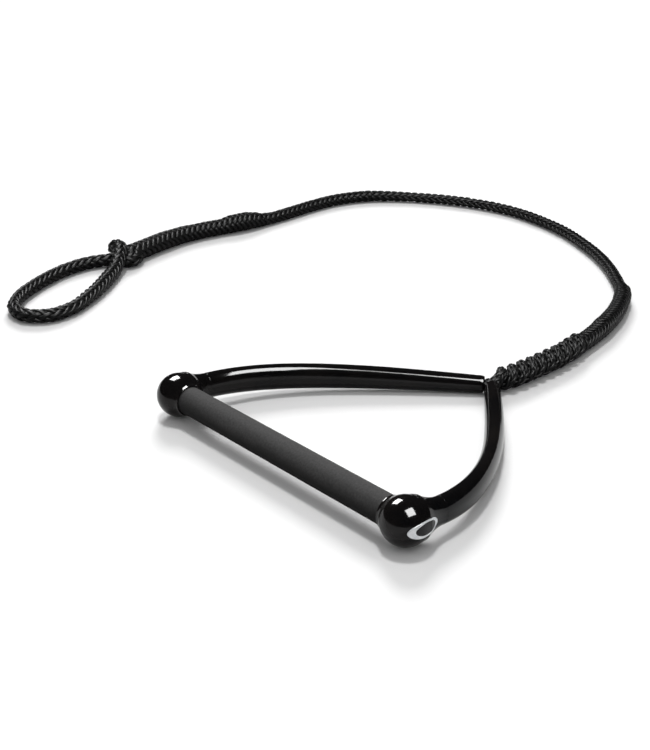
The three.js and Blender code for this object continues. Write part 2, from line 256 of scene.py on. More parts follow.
GLOSS = gloss_plastic()
RUBBER = grip_rubber()
ROPE = rope_fibre("rope_braid", (0.001, 0.001, 0.0011), (0.014, 0.014, 0.0144), 0.4)
ROPE_CORE = rope_fibre("rope_core", (0.002, 0.002, 0.002), (0.006, 0.006, 0.006), 0.7)
BADGE = painted(
    "badge_face", (0.62, 0.64, 0.66), (0.78, 0.8, 0.82), 0.18, 0.34, 160.0, 0.00005)
INLAY = painted(
    "badge_inlay", (0.004, 0.004, 0.005), (0.009, 0.009, 0.011), 0.16, 0.3, 160.0, 0.00005, 1.3)
NYLON = painted(
    "plug_nylon", (0.014, 0.014, 0.016), (0.026, 0.026, 0.028), 0.45, 0.62, 120.0, 0.0001)
FOAM = painted(
    "float_foam", (0.58, 0.56, 0.5), (0.74, 0.72, 0.66), 0.85, 0.98, 240.0, 0.0006)
ALUMINIUM = metal("core_aluminium", (0.52, 0.53, 0.54), (0.66, 0.67, 0.68), 0.24, 0.42)
STEEL = metal("washer_steel", (0.42, 0.43, 0.44), (0.56, 0.57, 0.58), 0.28, 0.46)


# ---------------------------------------------------------------- mesh building
def linked(name, data):
    """An object of the data, in the scene."""
    piece = bpy.data.objects.new(name, data)
    bpy.context.scene.collection.objects.link(piece)
    return piece


def placed_mesh(name, mesh, materials):
    """A smooth-shaded object of the mesh, with its materials."""
    mesh.polygons.foreach_set("use_smooth", np.full(len(mesh.polygons), True))
    for material in materials:
        mesh.materials.append(material)
    mesh.update()
    return linked(name, mesh)


class Build:
    """Collects tubes of quads, then makes one mesh object of them."""

    def __init__(self):
        self.points, self.faces, self.uvs, self.slots = [], [], [], []
        self.count = 0

    def grid(self, rows, across, along, slot=0):
        """Quads round a tube of rings, with a cap on each end. UVs are across by along."""
        steps, sides = rows.shape[:2]
        start = self.count
        self.points.append(rows.reshape(-1, 3))
        self.count += steps * sides
        for step in range(steps - 1):
            here, ahead = start + step * sides, start + (step + 1) * sides
            v0, v1 = along[step], along[step + 1]
            for side in range(sides):
                other = (side + 1) % sides
                self.faces.append((here + side, ahead + side, ahead + other, here + other))
                u0, u1 = across[side], across[side + 1]
                self.uvs.extend((u0, v0, u0, v1, u1, v1, u1, v0))
                self.slots.append(slot)
        first = tuple(range(start, start + sides))
        end = start + (steps - 1) * sides
        last = tuple(range(end + sides - 1, end - 1, -1))
        for ring, level in ((first, along[0]), (last, along[-1])):
            self.faces.append(ring)
            self.uvs.extend((0.5, level) * sides)
            self.slots.append(slot)

    def object(self, name, materials):
        points = np.vstack(self.points) * MM
        mesh = bpy.data.meshes.new(name)
        mesh.from_pydata(points.tolist(), [], self.faces)
        layer = mesh.uv_layers.new(name="UVMap")
        layer.data.foreach_set("uv", np.array(self.uvs, np.float32))
        mesh.polygons.foreach_set("material_index", np.array(self.slots, np.int32))
        return placed_mesh(name, mesh, materials)


def lengths(points):
    """How far along the line each of its points is."""
    steps = np.linalg.norm(np.diff(points, axis=0), axis=1)
    return np.concatenate([[0.0], np.cumsum(steps)])


def unit(vectors):
    return vectors / np.linalg.norm(vectors, axis=-1, keepdims=True)


def smoothstep(low, high, value):
    share = np.clip((np.asarray(value, float) - low) / (high - low), 0.0, 1.0)
    return share * share * (3 - 2 * share)


def line_frames(points):
    """Tangents and two side vectors along a line, which turn with it as little as possible."""
    tangent = unit(np.gradient(points, axis=0))
    side = np.zeros_like(points)
    side[0] = unit(np.cross(tangent[0], UP))
    for index in range(1, len(points)):
        carried = side[index - 1] - tangent[index] * (side[index - 1] @ tangent[index])
        side[index] = carried / np.linalg.norm(carried)
    return tangent, side, np.cross(side, tangent)


def through(points, per_span=60):
    """The centripetal Catmull-Rom curve through the points, as many short steps."""
    points = np.array(points, float)
    ends = np.vstack([2 * points[0] - points[1], points, 2 * points[-1] - points[-2]])
    pieces = []
    share = np.linspace(0, 1, per_span, endpoint=False)[:, None]
    for index in range(1, len(ends) - 2):
        p0, p1, p2, p3 = ends[index - 1:index + 3]
        d0, d1, d2 = (max(np.linalg.norm(b - a) ** 0.5, 1e-4)
                      for a, b in ((p0, p1), (p1, p2), (p2, p3)))
        leave = ((p1 - p0) / d0 - (p2 - p0) / (d0 + d1) + (p2 - p1) / d1) * d1
        arrive = ((p2 - p1) / d1 - (p3 - p1) / (d1 + d2) + (p3 - p2) / d2) * d1
        square = -3 * p1 + 3 * p2 - 2 * leave - arrive
        cube = 2 * p1 - 2 * p2 + leave + arrive
        pieces.append(p1 + leave * share + square * share ** 2 + cube * share ** 3)
    pieces.append(points[-1][None])
    return np.vstack(pieces)


def at_distances(points, wanted):
    """The points at some distances along a line."""
    along = lengths(points)
    return np.stack([np.interp(wanted, along, points[:, axis]) for axis in range(3)], axis=-1)


def evenly(points, step):
    """The same line with points a fixed step apart."""
    whole = lengths(points)[-1]
    count = max(int(round(whole / step)), 2)
    return at_distances(points, np.linspace(0, whole, count + 1))


# ---------------------------------------------------------------- braid
CARRIERS = 6
STRAND_SIDES = 8
STRAND_LIFT = 0.95
STRAND_HALF_THICK = 1.4
STRAND_COVER = 0.96
CORE_SIDES = 14
CORE_GAP = 0.15
BRAID_STEP = 1.4
WAVE_FLATTEN = 1.3
# how irregular the strands are: each value times a random level
ANGLE_DRIFT = 0.025
THICK_DRIFT = 0.08
LEVEL_SWELL = 0.06
WIDTH_SWELL = 0.05
DRIFT_SPACING = 9
SWELL_SPACING = 7


def wandering(rng, along, spacing):
    """A random level along a line, with a new value at each spacing."""
    count = 2 + int(along[-1] / spacing)
    return np.interp(along, np.linspace(0, along[-1], count), rng.normal(0, 1, count))


def tube(line, side, upward, radius, sides):
    """Round rings of one radius for each point along a line."""
    ring = TURN * np.arange(sides) / sides
    return (line[:, None, :]
            + side[:, None, :] * (radius[:, None] * np.cos(ring))[:, :, None]
            + upward[:, None, :] * (radius[:, None] * np.sin(ring))[:, :, None])


def braid(name, line, radius, lay, turned=0.0, seed=1, lift=STRAND_LIFT, thick=STRAND_HALF_THICK):
    """A hollow braid of six strands each way, two over and two under, along a line.
    radius and lay are arrays along it; turned is the braid's angle at its start, in turns."""
    rng = np.random.default_rng(seed)
    tangent, side, upward = line_frames(line)
    along = lengths(line)
    pitch = np.diff(along) * 0.5 * (1 / lay[:-1] + 1 / lay[1:])
    turn = turned + np.concatenate([[0.0], np.cumsum(pitch)])
    count = 2 * CARRIERS * turn
    middle = radius - lift - thick
    slope = np.arctan(TURN * middle / lay)
    half_width = 0.5 * STRAND_COVER * TURN * middle / CARRIERS * np.cos(slope)
    build = Build()
    around = TURN * (np.arange(STRAND_SIDES) + 0.5) / STRAND_SIDES
    across = np.arange(STRAND_SIDES + 1) / STRAND_SIDES
    for hand in (1, -1):
        for strand in range(CARRIERS):
            wave = hand * np.cos(math.pi / 2 * (count + hand * (2 * strand - 0.5)))
            wave = np.tanh(WAVE_FLATTEN * wave) / math.tanh(WAVE_FLATTEN)
            drift = wandering(rng, along, DRIFT_SPACING)
            swell = wandering(rng, along, SWELL_SPACING)
            angle = TURN * (hand * turn + strand / CARRIERS) + ANGLE_DRIFT * drift
            level = middle + lift * wave + LEVEL_SWELL * swell
            wide = half_width * (1 + WIDTH_SWELL * swell)
            x = wide[:, None] * np.cos(around)
            y = thick * np.sin(around)[None, :] * (1 + THICK_DRIFT * drift[:, None])
            theta = angle[:, None] + x * np.cos(slope)[:, None] / level[:, None]
            reach = level[:, None] + y
            shift = -hand * x * np.sin(slope)[:, None]
            rows = (line[:, None, :] + tangent[:, None, :] * shift[:, :, None]
                    + side[:, None, :] * (reach * np.cos(theta))[:, :, None]
                    + upward[:, None, :] * (reach * np.sin(theta))[:, :, None])
            build.grid(rows, across, along / np.cos(slope.mean()) * MM + strand * 0.37 + hand)
    core = tube(line, side, upward, middle - CORE_GAP, CORE_SIDES)
    build.grid(core, np.arange(CORE_SIDES + 1) / CORE_SIDES, along * MM, slot=1)
    piece = build.object(name, [ROPE, ROPE_CORE])
    return piece, turn[-1]


# ---------------------------------------------------------------- ropes
PIVOT = [0, 154]
THROAT = [-616, 80]
TOW_ROUTE = [
    PIVOT, [-1, 200], [-4, 246], [-11, 292], [-23, 337], [-40, 381], [-62, 423],
    [-89, 460], [-123, 491], [-159, 520], [-198, 546], [-240, 568], [-306, 595],
    [-374, 609], [-420, 611], [-465, 604], [-509, 589], [-551, 566], [-589, 537],
    [-619, 502], [-633, 461], [-634, 417], [-629, 370], [-628, 322], [-633, 274],
    [-641, 207], [-637, 160], [-625, 115], THROAT,
]
LOOP_ROUTE = [
    [-624, 60], [-630, 36], [-627, 5], [-614, -31], [-595, -65], [-573, -95],
    [-543, -117], [-510, -118], [-492, -96], [-496, -64], [-516, -30], [-539, 1],
    [-568, 34], [-601, 65],
]
# places along the tow route
SPLICE_START = 136.0
LACING_END = 142.0
SPLICE_END = 344.0
BURY_START = 925.0
LOOP_SPLICE_START = 1126.0

# outer radius of the rope and its lay (the length of one turn of a strand) along the route
ROPE_SIZES = [
    # distance, radius, lay
    (132, 10.87, 46), (150, 10.87, 46), (188, 10.87, 46), (200, 11.6, 44), (214, 11.29, 44),
    (260, 11.08, 46), (312, 10.97, 48), (330, 10.14, 52), (346, 8.36, 58), (362, 7.63, 62),
    (420, 7.47, 62), (860, 7.37, 62), (900, 7.94, 60), (935, 8.46, 58), (1105, 8.57, 56),
    (1122, 9.4, 52), (1138, 11.49, 48), (1152, 12.85, 46), (1172, 12.85, 46), (1190, 11.29, 50),
    (1230, 11.39, 54), (1260, 11.91, 56), (1290, 12.54, 58), (1345, 12.54, 60), (1362, 11.91, 60),
]

# how far the rope has been nudged on the floor from its plain route, at distances along it
NUDGE = [
    (0, 1.5), (30, 5.5), (100, 5.5), (150, 0.5), (1060, 0), (1110, 3.5), (1150, 4.5),
    (1200, 3.5), (1245, 4), (1290, 7), (1335, 7), (1362, 2),
]
NUDGE_WAY = np.array([0.783, -0.622, 0.0])


def part_of(line, start, end, step=BRAID_STEP):
    """The stretch of a line between two distances along it, in even steps."""
    wanted = np.linspace(start, end, max(int(round((end - start) / step)), 3) + 1)
    return at_distances(line, wanted), wanted


def eased(table, where, column):
    """A value along a route from rows of (distance, value ...), joined by smooth steps."""
    rows = np.array(table, float)
    result = np.full(len(where), rows[0, column])
    for low, high in zip(rows[:-1], rows[1:]):
        rise = smoothstep(low[0], high[0], where)
        result = result + (high[column] - low[column]) * rise
    return result


tow_line = through([[x, y, 0.0] for x, y in TOW_ROUTE])
tow_line = tow_line + eased(NUDGE, lengths(tow_line), 1)[:, None] * NUDGE_WAY
rope_end = lengths(tow_line)[-1] - 6


def braid_stretch(name, start, end, turned, node, seed):
    """One stretch of the tow rope on the floor, in place of its CAD node."""
    line, where = part_of(tow_line, start, end)
    radius = eased(ROPE_SIZES, where, 1)
    lay = eased(ROPE_SIZES, where, 2)
    line[:, 2] = radius
    piece, turned = braid(name, line, radius, lay, turned, seed)
    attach(piece, "tow_line")
    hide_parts(node)
    return turned


def make_tow_rope():
    """The rope from the lacing to the throat: one braid that swells over each splice."""
    turned = 0.0
    for name, start, end, node, diameter, seed in (
        ("apex_splice_braid", SPLICE_START, SPLICE_END, "apex_splice", 21.0, 11),
        ("tow_rope_braid", SPLICE_END, BURY_START, "tow_rope", 14.2, 12),
        ("buried_tail_braid", BURY_START, LOOP_SPLICE_START, "buried_tail", 16.6, 13),
        ("loop_splice_braid", LOOP_SPLICE_START, rope_end, "loop_splice", 22.8, 14),
    ):
        turned = braid_stretch(name, start, end, turned, node, seed)


make_tow_rope()

# the two legs that come out of the arms and twist round each other
LEG_RADIUS = 5.4
LEG_LAY = 52.0
TWIST_RADIUS = 7.8
TWIST_PITCH = 28.6
TWIST_HEIGHT = 13.1
CORE_RADIUS = 5.8
CORE_LAY = 40.0
MOUTH_SWELL = 1.8
MOUTH_SWELL_AT = 13.0
MOUTH_SWELL_REACH = 8.0
TWIST_START = 6.0
TWIST_END = 138.0
MOUTH = np.array([5.4, 142.8, 9.5])
MOUTH_LEAVE = unit(np.array([-0.722, 0.692, -0.02]))


def lacing_leg_line(sign, phase):
    """From inside one arm's mouth, across the other leg and into the twist."""
    mirror = np.array([sign, 1.0, 1.0])
    points = [(MOUTH - MOUTH_LEAVE * 6.0) * mirror, (MOUTH + MOUTH_LEAVE * 1.0) * mirror]
    for where in np.arange(TWIST_START, LACING_END + 12, 3.0):
        middle, ahead = at_distances(tow_line, [where, where + 1])
        across = unit(np.cross(ahead - middle, UP))
        close = 1 - 0.6 * smoothstep(TWIST_END, LACING_END + 8, where)
        radius = TWIST_RADIUS * close
        angle = phase + TURN * where / TWIST_PITCH
        points.append(middle + across * radius * math.cos(angle)
                      + UP * (TWIST_HEIGHT + radius * math.sin(angle)))
    return evenly(through(points, 12), BRAID_STEP)


def blend_lacing(piece):
    """Bakes the lacing piece's placement into its mesh."""
    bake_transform(piece)


def make_lacing():
    """The two rope legs, each a little loose and thick where it leaves its arm."""
    for name, sign, phase, node, seed in (
        ("lacing_leg_right", 1, 0.0, "apex_lacing", 21),
        ("lacing_leg_left", -1, math.pi, "lacing_root", 22),
    ):
        line = lacing_leg_line(sign, phase)
        swell = np.exp(-((lengths(line) - MOUTH_SWELL_AT) / MOUTH_SWELL_REACH) ** 2)
        size = LEG_RADIUS + MOUTH_SWELL * swell
        piece, _ = braid(name, line, size, np.full(len(line), LEG_LAY), 0.0, seed,
                         lift=0.8, thick=1.2)
        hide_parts(node)
        blend_lacing(piece)


def make_lacing_core():
    """The middle of the lacing, which the two legs twist round and hide."""
    line, _ = part_of(tow_line, 0.5, LACING_END)
    line[:, 2] = TWIST_HEIGHT
    size = np.full(len(line), CORE_RADIUS)
    piece, _ = braid("lacing_core", line, size, np.full(len(line), CORE_LAY), 0.0, 23,
                     lift=0.6, thick=0.9)
    blend_lacing(piece)


make_lacing_core()
make_lacing()

# the eye loop's rope, with its near leg wrapped over and under the throat
LOOP_RADIUS = 8.6
LOOP_SWELL = 1.4
LOOP_LAY = 72.0
WRAP = [
    [-589.5, 55.5, 13.5], [-602, 67.5, 19.5], [-613.5, 75.5, 23.5], [-626.5, 78, 23],
    [-637, 81, 16.5], [-639.5, 89, 11], [-630, 96.5, 10], [-611, 97.5, 10],
    [-599, 86, 10], [-603, 75, 10], [-611, 74, 10],
]


def make_eye_loop():
    """The eye's rope: hidden under the throat, round the eye, and once round the throat."""
    line = [[-622, 98, 9.5], [-620, 84, 8.6], [-621.5, 70, 8.3]]
    line += [[x, y, LOOP_RADIUS] for x, y in LOOP_ROUTE[:-1]]
    line += WRAP
    line = evenly(through(line, 30), BRAID_STEP)
    along = lengths(line)
    size = LOOP_RADIUS + LOOP_SWELL * smoothstep(along[-1] - 300, along[-1] - 170, along)
    line[:, 2] = np.maximum(line[:, 2], size)
    piece, _ = braid("eye_loop_braid", line, size, np.full(len(line), LOOP_LAY), 0.0, 31,
                     lift=1.05, thick=1.6)
    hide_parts("eye_loop", "throat_knot")
    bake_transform(piece)


make_eye_loop()

# ---------------------------------------------------------------- handle
GRIP_Y = -125.2
GRIP_RADIUS = 14.25
GRIP_VISIBLE = 149.9
GRIP_END_RADIUS = 14.0
GRIP_HALF = 154.2
BALL_RADIUS = 22.5
BALL_CENTRE = np.array([170.0, GRIP_Y, BALL_RADIUS])
COLLAR_RADIUS = 15.8
COLLAR_REACH = 20.0
SOCKET_RADIUS = 14.5
SOCKET_DEPTH = 2.4
RIM_RADIUS = 0.6
NECK_START = 13.0
NECK_END = 36.0
FLARE = (8.0, 7.0)
FIELD_BLEND = 3.0
ARM_POINTS = np.array([[170, 0, 22.5], [195, 98, 18.2], [88, 189, 13.8], [5.4, 268, 9.5]], float)
ARM_POINTS[:, 1] += GRIP_Y
ARM_SECTIONS = [[10.5, 13.3], [8.9, 14.1], [9.6, 12.4], [8.2, 9.3]]
BORE_RADIUS = 6.4
BORE_BEVEL = 0.35
MOUTH_ROUND = 3.0
SEAM = 0.05
SPIGOT_LENGTH = 6.0
SPIGOT_INSET = 2.6


def bezier(points, share):
    """The cubic curve of four points, at shares of its parameter."""
    share = np.asarray(share, float)[:, None]
    p0, p1, p2, p3 = points
    rest = 1 - share
    return (rest ** 3 * p0 + 3 * rest ** 2 * share * p1
            + 3 * rest * share ** 2 * p2 + share ** 3 * p3)


arm_line = bezier(ARM_POINTS, np.linspace(0, 1, 1601))
ARM_LENGTH = lengths(arm_line)[-1]
section_line = through([[width, height, 0.0] for width, height in ARM_SECTIONS], 100)


def arm_place(distance):
    """Centre, across, upward and tangent vectors of the arm at distances along it."""
    distance = np.asarray(distance, float)
    inside = np.clip(distance, 0, ARM_LENGTH)
    centre = at_distances(arm_line, inside)
    far = at_distances(arm_line, np.clip(inside + 0.5, 0, ARM_LENGTH))
    near = at_distances(arm_line, np.clip(inside - 0.5, 0, ARM_LENGTH))
    tangent = unit(far - near)
    centre = centre + tangent * (distance - inside)[:, None]
    across = unit(np.cross(tangent, UP))
    return centre, across, np.cross(across, tangent), tangent


def arm_size(distance):
    """Half width and half height of the arm at distances along it."""
    share = np.clip(np.asarray(distance, float) / ARM_LENGTH, 0, 1)
    where = np.linspace(0, 1, len(section_line))
    width = np.interp(share, where, section_line[:, 0])
    height = np.interp(share, where, section_line[:, 1])
    return width, height


def ellipse_rows(distance, width, height, sides):
    """Elliptical rings across the arm."""
    centre, across, upward, _ = arm_place(distance)
    angle = TURN * np.arange(sides) / sides
    return (centre[:, None, :]
            + across[:, None, :] * (width[:, None] * np.cos(angle))[:, :, None]
            + upward[:, None, :] * (height[:, None] * np.sin(angle))[:, :, None])


ARM_SIDES = 56


def arm_rows():
    """One bridle arm: a spigot in the ball's neck, an oval tube and a rounded open mouth."""
    start = NECK_END + SEAM
    w0, h0 = (size[0] for size in arm_size([start]))
    w1, h1 = (size[0] for size in arm_size([ARM_LENGTH]))
    rings = [(start + ahead, w0 - inset, h0 - inset) for ahead, inset in (
        (-SPIGOT_LENGTH, SPIGOT_INSET), (-0.05, SPIGOT_INSET), (0, 0.02), (0.04, 0))]
    body = np.arange(start + 0.4, ARM_LENGTH - MOUTH_ROUND, 1.6)
    rings += zip(body, *arm_size(body))
    rim = BORE_RADIUS + BORE_BEVEL
    for angle in np.linspace(0, math.pi / 2, 7):
        inward = 1 - math.cos(angle)
        rings.append((ARM_LENGTH - MOUTH_ROUND + MOUTH_ROUND * math.sin(angle),
                      w1 - (w1 - rim) * inward, h1 - (h1 - rim) * inward))
    rings += [(ARM_LENGTH - back, BORE_RADIUS, BORE_RADIUS) for back in (0.9, 14.0)]
    return ellipse_rows(*np.array(rings).T, ARM_SIDES)


def mirrored(rows):
    """The same rows on the other side of X = 0, with their faces still outward."""
    flipped = rows[:, ::-1].copy()
    flipped[:, :, 0] *= -1
    return flipped


def make_arms():
    rows = arm_rows()
    for name, shape in (("right", rows), ("left", mirrored(rows))):
        build = Build()
        build.grid(shape, np.arange(ARM_SIDES + 1) / ARM_SIDES, np.arange(len(rows)) * 1.0)
        piece = build.object(f"bridle_arm_{name}_shell", [GLOSS])
        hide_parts(f"bridle_arm_{name}")
        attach(piece, "handle")


make_arms()


# ---------------------------------------------------------------- ball ends
def soft_union(a, b):
    """The nearer of two distances, with a fillet where they are alike."""
    mix = np.clip(FIELD_BLEND - np.abs(a - b), 0, None) / FIELD_BLEND
    return np.minimum(a, b) - mix * mix * FIELD_BLEND / 4


def neck_size(distance):
    """Half width and half height of the neck, which flares towards the ball."""
    width, height = arm_size(distance)
    share = np.clip((distance - NECK_START) / (NECK_END - NECK_START), 0, 1)
    return width + FLARE[0] * (1 - share) ** 2, height + FLARE[1] * (1 - share) ** 2


def ball_field(points):
    """How far points are outside the ball, its collar and its neck, in millimetres."""
    local = points - BALL_CENTRE
    ball = np.linalg.norm(local, axis=1) - BALL_RADIUS
    collar = np.maximum(np.hypot(local[:, 1], local[:, 2]) - COLLAR_RADIUS, local[:, 0])
    distance = np.linspace(0, NECK_END + 12, 200)
    centre, across, upward, tangent = arm_place(distance)
    step = distance[1] - distance[0]
    guess = np.clip((local @ tangent[60]) / step, 0, len(distance) - 1).astype(int)
    for _ in range(4):
        gap = np.einsum("ij,ij->i", points - centre[guess], tangent[guess])
        guess = np.clip(np.round(guess + gap / step), 0, len(distance) - 1).astype(int)
    gap = np.einsum("ij,ij->i", points - centre[guess], tangent[guess])
    along = distance[guess] + gap
    offset = points - centre[guess] - tangent[guess] * gap[:, None]
    a = np.einsum("ij,ij->i", offset, across[guess])
    b = np.einsum("ij,ij->i", offset, upward[guess])
    width, height = neck_size(along)
    ratio = np.hypot(a / width, b / height)
    neck = np.hypot(a, b) * (1 - 1 / np.maximum(ratio, 1e-6))
    neck = np.maximum(neck, NECK_START - 3 - along)
    return soft_union(soft_union(ball, collar), neck)


def field_slope(points, size=0.02):
    """The field's gradient, from small steps along each axis."""
    slope = np.zeros_like(points)
    for axis in range(3):
        step = np.zeros(3)
        step[axis] = size
        slope[:, axis] = (ball_field(points + step) - ball_field(points - step)) / (2 * size)
    return slope


def onto_field(points, rounds=6):
    """The points moved onto the surface where the field is zero."""
    for _ in range(rounds):
        value = ball_field(points)
        slope = field_slope(points)
        points = points - slope * (value / np.maximum((slope ** 2).sum(1), 1e-6))[:, None]
    return points


ROUGH_SIDES = 40


def rough_ball():
    """Closed bodies that together fill the ball, its collar and its neck, a little over long."""
    build = Build()
    ring = TURN * np.arange(ROUGH_SIDES) / ROUGH_SIDES

    def turned(profile):
        """Adds a body turned about the grip's axis, from (along, radius) pairs."""
        rows = np.stack([
            BALL_CENTRE + np.stack([
                np.full(ROUGH_SIDES, x), radius * np.cos(ring), radius * np.sin(ring),
            ], 1) for x, radius in profile])
        build.grid(rows, np.zeros(ROUGH_SIDES + 1), np.zeros(len(rows)))

    turned([(-BALL_RADIUS * math.cos(a), BALL_RADIUS * math.sin(a))
            for a in np.linspace(0.02, math.pi - 0.02, 28)])
    turned([(x, COLLAR_RADIUS) for x in np.linspace(-COLLAR_REACH - 4, 0, 12)])
    distance = np.linspace(NECK_START, NECK_END + 5, 20)
    rows = ellipse_rows(distance, *neck_size(distance), ROUGH_SIDES)
    build.grid(rows, np.zeros(ROUGH_SIDES + 1), np.zeros(len(rows)))
    return build.object("rough_ball", [])


VOXEL = 0.9


def mesh_points(mesh):
    points = np.zeros(len(mesh.vertices) * 3, np.float32)
    mesh.vertices.foreach_get("co", points)
    return points.reshape(-1, 3)


def ball_mesh():
    """A clean closed skin of the ball end, in millimetres, and the mesh it came from."""
    rough = rough_ball()
    rough.data.transform(Matrix.Scale(1 / MM, 4))
    remesh = rough.modifiers.new("remesh", "REMESH")
    remesh.mode = "VOXEL"
    remesh.voxel_size = VOXEL
    graph = bpy.context.evaluated_depsgraph_get()
    skin = bpy.data.meshes.new_from_object(rough.evaluated_get(graph))
    bpy.data.objects.remove(rough)
    points = onto_field(mesh_points(skin).astype(float))
    skin.vertices.foreach_set("co", points.astype(np.float32).ravel())
    shape = bmesh.new()
    shape.from_mesh(skin)
    return shape, skin


def close_rim(shape, plane, facing, sized, rings):
    """Cuts the skin at a plane and closes it with a rounded rim and a socket.
    rings are (outward distance, size) pairs from the cut, about the plane's own centre."""
    cut = bmesh.ops.bisect_plane(
        shape, geom=shape.verts[:] + shape.edges[:] + shape.faces[:],
        plane_co=Vector(plane), plane_no=Vector(facing), clear_outer=True)
    edges = [e for e in cut["geom_cut"] if isinstance(e, bmesh.types.BMEdge)]
    for outward, size in rings:
        grown = bmesh.ops.extrude_edge_only(shape, edges=edges)
        verts = [v for v in grown["geom"] if isinstance(v, bmesh.types.BMVert)]
        edges = [e for e in grown["geom"] if isinstance(e, bmesh.types.BMEdge)]
        for vert in verts:
            local = np.array(vert.co) - plane
            flat = local - facing * (local @ facing)
            vert.co = Vector(plane + facing * outward + sized(flat, size))
    bmesh.ops.contextual_create(shape, geom=edges)


def at_radius(flat, radius):
    """The offset from the axis, at a given radius."""
    return flat / np.linalg.norm(flat) * radius


def moved_in(flat, inset):
    """The offset from the axis, shorter by an inset."""
    size = np.linalg.norm(flat)
    return flat * (size - inset) / size


def make_balls():
    """Both ball ends: the skin is cut at the collar and the neck, and its rims are closed."""
    shape, skin = ball_mesh()
    plane = BALL_CENTRE + np.array([RIM_RADIUS - COLLAR_REACH, 0, 0])
    rings = [(RIM_RADIUS * math.sin(a), COLLAR_RADIUS - RIM_RADIUS * (1 - math.cos(a)))
             for a in np.linspace(0.3, math.pi / 2, 5)]
    rings += [(RIM_RADIUS, SOCKET_RADIUS + 0.3), (RIM_RADIUS - 0.3, SOCKET_RADIUS),
              (-SOCKET_DEPTH, SOCKET_RADIUS)]
    close_rim(shape, plane, np.array([-1.0, 0, 0]), at_radius, rings)
    centre, _, _, tangent = arm_place([NECK_END - 0.35])
    rings = [(0.25, 0.0), (0.33, 0.0), (0.35, 0.02), (0.35, 1.2), (-3.0, 1.6)]
    close_rim(shape, centre[0], tangent[0], moved_in, rings)
    bmesh.ops.recalc_face_normals(shape, faces=shape.faces)
    shape.to_mesh(skin)
    shape.free()
    points = mesh_points(skin)
    faces = [tuple(p.vertices) for p in skin.polygons]
    for name, sign in (("right", 1), ("left", -1)):
        placed = points * np.array([sign, 1, 1]) * MM
        mesh = bpy.data.meshes.new(f"end_ball_{name}_shell")
        mesh.from_pydata(placed.tolist(), [], [f[::sign] for f in faces])
        piece = placed_mesh(f"end_ball_{name}_shell", mesh, [GLOSS])
        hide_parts(f"end_ball_{name}")
        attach(piece, "handle")


make_balls()

# oval badge on the outer side of each ball
BADGE_MIDDLE = (GRIP_Y + 3.2, BALL_RADIUS)
BADGE_HALF = (17.3, 7.5)
INLAY_MIDDLE = (GRIP_Y + 4.1, BALL_RADIUS + 0.7)
INLAY_HALF = (12.3, 5.6)
BADGE_RINGS = 14
BADGE_SPOKES = 72


def on_outer_side(flat, offset):
    """Points of the ball's outer side at (y, z) places, raised by an offset."""
    low = np.full(len(flat), BALL_CENTRE[0] - 4.0)
    high = np.full(len(flat), BALL_CENTRE[0] + 40.0)
    for _ in range(40):
        middle = (low + high) / 2
        outside = ball_field(np.column_stack([middle, flat])) > offset
        high = np.where(outside, middle, high)
        low = np.where(outside, low, middle)
    return np.column_stack([(low + high) / 2, flat])


def badge_rows(middle, half, bottom, top):
    """Rings from the plate's middle to its rounded edge and down its side."""
    angle = TURN * np.arange(BADGE_SPOKES) / BADGE_SPOKES
    rows = []
    profile = [(share, top) for share in np.linspace(0.02, 0.93, BADGE_RINGS)]
    profile += [(0.965, top - 0.04), (0.988, top - 0.14), (1.0, top - 0.32), (1.0, bottom)]
    for share, offset in profile:
        flat = np.column_stack([
            middle[0] + half[0] * share * np.cos(angle),
            middle[1] + half[1] * share * np.sin(angle),
        ])
        rows.append(on_outer_side(flat, offset))
    return np.array(rows)


def make_badges():
    """A pale plate on each ball, which stands for the CAD badge, with a dark inlay."""
    for kind, middle, half, bottom, top, material, is_plate in (
        ("badge_plate", BADGE_MIDDLE, BADGE_HALF, 0.05, 0.75, BADGE, True),
        ("badge_inlay", INLAY_MIDDLE, INLAY_HALF, 0.6, 0.9, INLAY, False),
    ):
        rows = badge_rows(middle, half, bottom, top)
        for name, shape in (("right", rows[:, ::-1]), ("left", mirrored(rows[:, ::-1]))):
            build = Build()
            build.grid(shape, np.arange(BADGE_SPOKES + 1) / BADGE_SPOKES,
                       np.arange(len(rows)) * 0.1)
            piece = build.object(f"{kind}_{name}", [material])
            if is_plate:
                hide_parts(f"cap_badge_{name}")
            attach(piece, "handle")


make_badges()


# ---------------------------------------------------------------- grip
GRIP_SIDES = 120
GRIP_STEPS = 260
DIP = 0.035
DIPS_ALONG = 40
DIPS_AROUND = 10


